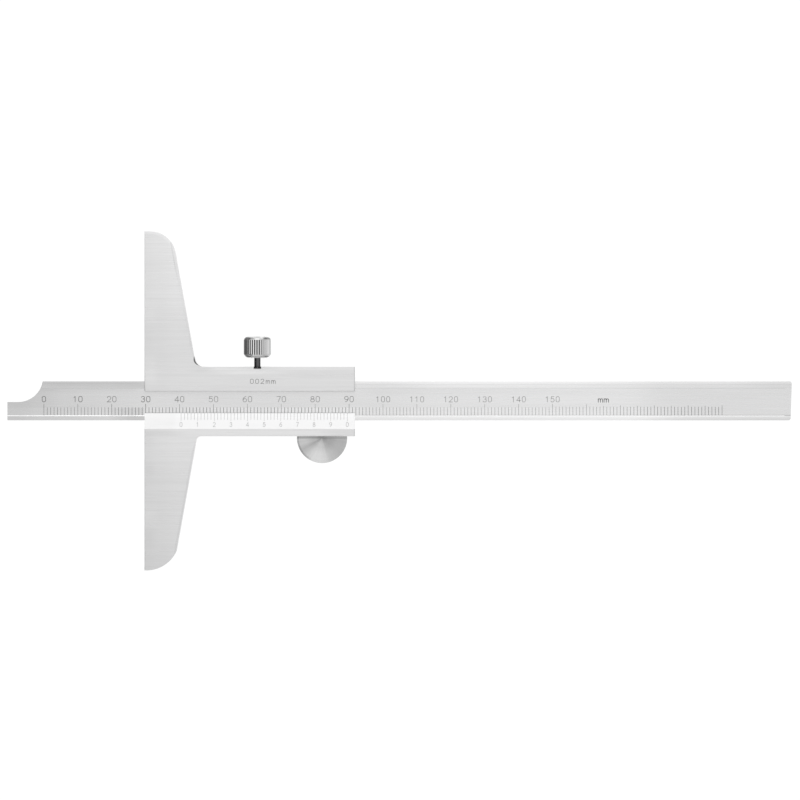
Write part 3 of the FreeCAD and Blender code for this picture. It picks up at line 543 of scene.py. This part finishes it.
# ------------------------------------------------------------------ engraved marks
def ink(name, grey, rough=0.55, var=0.25, seed=0.0, lightening=None):
    """Engraver's filler. The last argument is a curve of (x, factor) pairs: a larger factor makes the filler lighter.
    """
    t = Tree(name)
    a = t.noise(t.vmul(t.p, (3.0, 3.0, 3.0)), 1.0, 3.0, 0.6, seed=seed)
    b = t.noise(t.vmul(t.p, (25.0, 25.0, 25.0)), 1.0, 1.0, 0.5, seed=seed + 2)
    f = t.math("MULTIPLY_ADD", t.math("SUBTRACT", a, 0.5), 2 * var, 1.0)
    f = t.math("MULTIPLY_ADD", t.math("SUBTRACT", b, 0.5), var, f)
    if lightening:
        f = t.math("MULTIPLY", f, t.steps(t.xyz(t.p)[0], *lightening))
    t.link(t.tint((grey, grey, grey), f), t.bsdf.inputs["Base Color"])
    t.link(t.math("MULTIPLY_ADD", t.math("SUBTRACT", a, 0.5), 0.2, rough), t.bsdf.inputs["Roughness"])
    t.link(t.bump(b, 0.3, 0.01), t.bsdf.inputs["Normal"])
    t.bsdf.inputs["Metallic"].default_value = 0.0
    t.bsdf.inputs["Specular IOR Level"].default_value = 0.3
    return t


def arc_pts(cx, cy, rx, ry, a0, a1, n=10):
    return [(cx + rx * math.cos(math.radians(a0 + (a1 - a0) * i / n)),
             cy + ry * math.sin(math.radians(a0 + (a1 - a0) * i / n))) for i in range(n + 1)]


# Single-stroke engraver's figures. Each has height 1 and its width in the first value.
# A stroke is (closed, points).
GLYPHS = {
    "0": (0.56, [(True, arc_pts(0.28, 0.72, 0.246, 0.28, 0, 180, 10)
                  + arc_pts(0.28, 0.28, 0.246, 0.28, 180, 360, 10))]),
    "1": (0.50, [(False, [(0.05, 0.76), (0.25, 0.97), (0.25, 0.0)])]),
    "2": (0.60, [(False, arc_pts(0.30, 0.71, 0.255, 0.29, 172, -38, 12) + [(0.04, 0.0), (0.57, 0.0)])]),
    "3": (0.60, [(False, arc_pts(0.29, 0.755, 0.225, 0.245, 160, -82, 11)
                  + arc_pts(0.29, 0.275, 0.265, 0.275, 82, -162, 12))]),
    "4": (0.62, [(False, [(0.44, 0.0), (0.44, 0.98), (0.03, 0.27), (0.60, 0.27)])]),
    "5": (0.60, [(False, [(0.53, 0.98), (0.13, 0.98), (0.09, 0.55)]
                  + arc_pts(0.29, 0.33, 0.265, 0.33, 128, -158, 13))]),
    "6": (0.60, [(True, arc_pts(0.31, 0.30, 0.255, 0.30, 90, 450, 20)[:-1]),
                 (False, arc_pts(0.54, 0.36, 0.485, 0.62, 178, 98, 8))]),
    "7": (0.58, [(False, [(0.04, 0.98), (0.55, 0.98), (0.22, 0.0)])]),
    "8": (0.60, [(True, arc_pts(0.30, 0.755, 0.215, 0.235, 90, 450, 18)[:-1]),
                 (True, arc_pts(0.30, 0.265, 0.265, 0.265, 90, 450, 20)[:-1])]),
    "9": (0.60, [(True, arc_pts(0.29, 0.70, 0.255, 0.30, 90, 450, 20)[:-1]),
                 (False, arc_pts(0.06, 0.64, 0.485, 0.62, -2, -82, 8))]),
    ".": (0.20, [(True, arc_pts(0.10, 0.02, 0.045, 0.045, 0, 360, 8)[:-1])]),
    "m": (0.86, [(False, [(0.06, 0.0), (0.06, 0.66)]),
                 (False, [(0.06, 0.44)] + arc_pts(0.24, 0.47, 0.17, 0.19, 165, 0, 7) + [(0.41, 0.0)]),
                 (False, [(0.41, 0.44)] + arc_pts(0.60, 0.47, 0.17, 0.19, 165, 0, 7) + [(0.77, 0.0)])]),
}


class Marks:
    """Thin closed solids laid on a face. lay(x, y) gives the point on the face and its normal."""

    def __init__(self, lay, height=0.010, sink=0.006):
        self.lay, self.h, self.sink = lay, height, sink
        self.verts, self.faces = [], []

    def _pair(self, x, y):
        p, n = self.lay(x, y)
        self.verts.append(tuple((p - n * self.sink) * MM))
        self.verts.append(tuple((p + n * self.h) * MM))
        return len(self.verts) - 2

    def ring(self, loop):
        """A convex or plain outline, as one slab."""
        idx = [self._pair(x, y) for x, y in loop]
        self.faces.append([i + 1 for i in idx])
        self.faces.append([i for i in reversed(idx)])
        for a, b in zip(idx, idx[1:] + idx[:1]):
            self.faces.append([a, b, b + 1, a + 1])

    def strip(self, left, right, closed):
        li = [self._pair(*p) for p in left]
        ri = [self._pair(*p) for p in right]
        n = len(li)
        for i in range(n if closed else n - 1):
            j = (i + 1) % n
            self.faces.append([ri[i] + 1, ri[j] + 1, li[j] + 1, li[i] + 1])
            self.faces.append([li[i], li[j], ri[j], ri[i]])
            self.faces.append([li[i] + 1, li[j] + 1, li[j], li[i]])
            self.faces.append([ri[i], ri[j], ri[j] + 1, ri[i] + 1])
        if not closed:
            for i, flip in ((0, False), (n - 1, True)):
                f = [li[i], ri[i], ri[i] + 1, li[i] + 1]
                self.faces.append(f[::-1] if flip else f)

    def stroke(self, pts, w, closed=False):
        """A line of width w with mitred corners and rounded-off ends."""
        n = len(pts)
        left, right = [], []
        h = w / 2
        for i, (x, y) in enumerate(pts):
            a = pts[(i - 1) % n] if closed or i > 0 else None
            b = pts[(i + 1) % n] if closed or i < n - 1 else None
            d1 = d2 = None
            if a:
                d1 = (x - a[0], y - a[1])
                m = math.hypot(*d1)
                d1 = (d1[0] / m, d1[1] / m)
            if b:
                d2 = (b[0] - x, b[1] - y)
                m = math.hypot(*d2)
                d2 = (d2[0] / m, d2[1] / m)
            d1, d2 = d1 or d2, d2 or d1
            nx, ny = -(d1[1] + d2[1]), d1[0] + d2[0]
            m = math.hypot(nx, ny) or 1.0
            nx, ny = nx / m, ny / m
            c = max(0.35, nx * -d2[1] + ny * d2[0])
            k = h / c
            left.append((x + nx * k, y + ny * k))
            right.append((x - nx * k, y - ny * k))
        if not closed:
            # round the ends off with one more, narrower, station
            for end in (0, -1):
                x, y = pts[end]
                q = pts[1] if end == 0 else pts[-2]
                d = (x - q[0], y - q[1])
                m = math.hypot(*d)
                d = (d[0] / m, d[1] / m)
                tip_l = (x + d[0] * h * 0.85, y + d[1] * h * 0.85)
                lx, ly = left[end]
                rx, ry = right[end]
                a = (tip_l[0] + (lx - x) * 0.5, tip_l[1] + (ly - y) * 0.5)
                b = (tip_l[0] + (rx - x) * 0.5, tip_l[1] + (ry - y) * 0.5)
                if end == 0:
                    left.insert(0, a)
                    right.insert(0, b)
                else:
                    left.append(a)
                    right.append(b)
        self.strip(left, right, closed)

    def bar(self, x, y0, y1, w):
        h = w / 2
        self.ring([(x - h, y0), (x + h, y0), (x + h, y1), (x - h, y1)])

    def glyph(self, c, cx, cy, height, w, wide=1.0):
        """One figure centred on cx; cy is the middle of a full-height figure."""
        x = cx - GLYPHS[c][0] * height * wide / 2
        y = cy - height / 2
        for closed, pts in GLYPHS[c][1]:
            pts = [(x + px * height * wide, y + py * height) for px, py in pts]
            if c == ".":
                self.ring(pts)
            else:
                self.stroke(pts, w, closed)

    def text(self, s, cx, cy, height, w, pitch, wide=1.0):
        for i, c in enumerate(s):
            self.glyph(c, cx + (i - (len(s) - 1) / 2) * pitch, cy, height, w, wide)

    def piece(self, name, mat, body):
        mesh = bpy.data.meshes.new(name)
        mesh.from_pydata(self.verts, [], self.faces)
        mesh.validate()
        mesh.update()
        o = bpy.data.objects.new(name, mesh)
        bpy.context.scene.collection.objects.link(o)
        mesh.materials.append(mat)
        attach(o, body)
        return o


def on_beam(x, y):
    return Vector((x, y, SCALE_Z)), Vector((0, 0, 1))


V_SLOPE = (VERNIER_Z1 - VERNIER_Z0) / (VERNIER_EDGE - VERNIER_FOOT)
V_NORMAL = Vector((0, V_SLOPE, 1)).normalized()


def on_vernier(x, y):
    return Vector((x, y, VERNIER_Z0 + (VERNIER_EDGE - y) * V_SLOPE)), V_NORMAL


def on_front(x, y):
    return Vector((x, y, FRONT_Z)), Vector((0, 0, 1))


line_fill = ink("line_fill", 0.10, seed=2.0, lightening=((-26.0, 1.3), (-23.5, 2.1), (-13.0, 2.2), (-9.5, 1.1),
                                                    (4.0, 0.2), (56.0, 0.2), (72.0, 2.9), (134.0, 2.9),
                                                    (145.0, 1.8), (153.0, 1.1))).mat
figure_fill = ink("figure_fill", 0.13, seed=4.0, lightening=((-16.0, 1.0), (-9.7, 1.8), (-4.0, 1.1), (0.3, 1.1),
                                                        (10.3, 1.6), (20.0, 2.3), (50.0, 2.2), (60.3, 1.8),
                                                        (72.0, 2.2), (82.0, 2.6), (125.0, 2.5), (131.0, 0.5))).mat
vernier_fill = ink("vernier_fill", 0.30, seed=6.0).mat
number_fill = ink("number_fill", 0.43, seed=7.0).mat

zero = -READING + ZERO_BACK
ticks = Marks(on_beam)
for k in range(201):
    w = 0.11 if k % 5 == 0 and 30 < k < 90 else 0.12
    if k > 160:
        top = -1.75 if k % 5 else -1.50 if k % 10 else -1.35
    else:
        top = -1.93 if k <= 150 else -1.75
    ticks.bar(zero + k, TICK_FOOT, top, w)
    if k % 10 == 0 and k <= 160:
        # the upper part, engraved more lightly in the middle of the scale
        ticks.bar(zero + k, -1.93, -0.95, 0.075 if 30 < k < 90 else 0.12)
ticks.piece("main_scale_marks", line_fill, "beam")

figs = Marks(on_beam)
for k in range(0, 151, 10):
    if k < 100:
        figs.text(str(k), zero + k, 0.49, 1.64, 0.17, 1.55, wide=1.27)
    else:
        figs.text(str(k), zero + k, 0.45, 1.60, 0.17, 1.53, wide=1.20)
figs.text("mm", 135.3, 0.35, 1.60, 0.19, 1.72, wide=1.14)
figs.piece("main_scale_numbers", figure_fill, "beam")

vern = Marks(on_vernier)
for k in range(51):
    foot = -5.95 if k % 5 == 0 else -5.60
    vern.bar(ZERO_BACK + 0.98 * k, foot, VERNIER_EDGE - 0.03, 0.085)
vern.piece("vernier_marks", vernier_fill, "frame")

vnum = Marks(on_vernier)
for i, c in enumerate("01234567890"):
    vnum.glyph(c, ZERO_BACK + 4.9 * i, -6.98, 1.25, 0.13, 1.08 if c == "0" else 1.0)
vnum.piece("vernier_numbers", number_fill, "frame")

res = Marks(on_front)
for c, x in zip("0.02mm", (31.65, 32.42, 33.2, 34.75, 36.4, 38.05)):
    cy, height = (5.79, 1.44) if c == "m" else (5.75, 1.30)
    res.glyph(c, x, cy, height, 0.175, {"0": 1.42, "2": 1.31, "m": 1.04}.get(c, 0.8))
res.piece("resolution_mark", figure_fill, "frame")


# ------------------------------------------------------------------ floor, light, camera
def make_floor():
    z = (BACK_Z - 0.01) * MM
    s = 3.0
    mesh = bpy.data.meshes.new("floor")
    mesh.from_pydata([(-s, -s, z), (s, -s, z), (s, s, z), (-s, s, z)], [], [(0, 1, 2, 3)])
    o = bpy.data.objects.new("floor", mesh)
    bpy.context.scene.collection.objects.link(o)
    t = Tree("floor_white")
    a = t.noise(t.vmul(t.p, (0.01, 0.01, 0.01)), 1.0, 2.0, 0.5)
    t.link(t.tint((0.12, 0.12, 0.12), t.remap(a, 0.0, 1.0, 0.99, 1.01)), t.bsdf.inputs["Base Color"])
    t.bsdf.inputs["Roughness"].default_value = 0.8
    t.bsdf.inputs["Specular IOR Level"].default_value = 0.1
    t.bsdf.inputs["Emission Color"].default_value = (1.0, 1.0, 1.0, 1.0)
    t.bsdf.inputs["Emission Strength"].default_value = 0.94
    mesh.materials.append(t.mat)
    return o


make_floor()


def make_world():
    """A bright tent: brightest overhead and towards +Y, darker towards -Y and -X."""
    w = bpy.data.worlds.new("studio")
    bpy.context.scene.world = w
    w.use_nodes = True
    nt = w.node_tree
    nt.nodes.clear()
    out = nt.nodes.new("ShaderNodeOutputWorld")
    bg = nt.nodes.new("ShaderNodeBackground")
    nt.links.new(bg.outputs[0], out.inputs[0])
    tc = nt.nodes.new("ShaderNodeTexCoord")
    sep = nt.nodes.new("ShaderNodeSeparateXYZ")
    nt.links.new(tc.outputs["Generated"], sep.inputs[0])

    def m(op, a, b=0.0, c=0.0, clamp=False):
        n = nt.nodes.new("ShaderNodeMath")
        n.operation = op
        n.use_clamp = clamp
        for s, v in zip(n.inputs, (a, b, c)):
            if isinstance(v, bpy.types.NodeSocket):
                nt.links.new(v, s)
            else:
                s.default_value = v
        return n.outputs[0]

    def ease(v, lo, hi):
        n = nt.nodes.new("ShaderNodeMapRange")
        n.interpolation_type = "SMOOTHSTEP"
        nt.links.new(v, n.inputs[0])
        n.inputs[1].default_value, n.inputs[2].default_value = lo, hi
        return n.outputs[0]

    x, y, z = sep.outputs
    neg_x, neg_y = m("MULTIPLY", x, -1.0), m("MULTIPLY", y, -1.0)
    v = m("MULTIPLY_ADD", ease(y, 0.25, 0.55), 0.08, 0.93)
    v = m("MULTIPLY_ADD", ease(neg_y, 0.3, 0.8), -0.12, v)
    v = m("MULTIPLY_ADD", ease(x, 0.35, 0.75), -0.06, v)
    v = m("MULTIPLY_ADD", m("MULTIPLY", ease(neg_x, 0.40, 0.62), m("SUBTRACT", 1.0, ease(z, 0.10, 0.35))), -0.78, v)
    # a long strip light on the +Y side
    strip = m("MULTIPLY", ease(y, 0.62, 0.67), m("SUBTRACT", 1.0, ease(y, 0.74, 0.79)))
    strip = m("MULTIPLY", strip, m("SUBTRACT", 1.0, ease(m("ABSOLUTE", x), 0.20, 0.36)))
    v = m("MULTIPLY_ADD", strip, 1.25, v)
    v = m("MAXIMUM", v, 0.10)
    nt.links.new(v, bg.inputs["Strength"])
    bg.inputs["Color"].default_value = (1.0, 1.0, 1.0, 1.0)


make_world()


cam_data = bpy.data.cameras.new("camera")
cam_data.lens = 300.0
cam_data.sensor_width = 36.0
cam = bpy.data.objects.new("camera", cam_data)
bpy.context.scene.collection.objects.link(cam)
WIDTH_MM = 800 / 3.392
cam.location = (75.3 * MM, 0.24 * MM, WIDTH_MM * MM * 300.0 / 36.0 + 2.5 * MM)
cam.rotation_euler = (0.0, 0.0, 0.0)
cam_data.clip_start, cam_data.clip_end = 0.05, 20.0
bpy.context.scene.camera = cam

bpy.context.scene.view_settings.view_transform = "Standard"
bpy.context.scene.view_settings.look = "None"
bpy.context.scene.view_settings.exposure = 0.0
bpy.context.scene.view_settings.gamma = 1.0
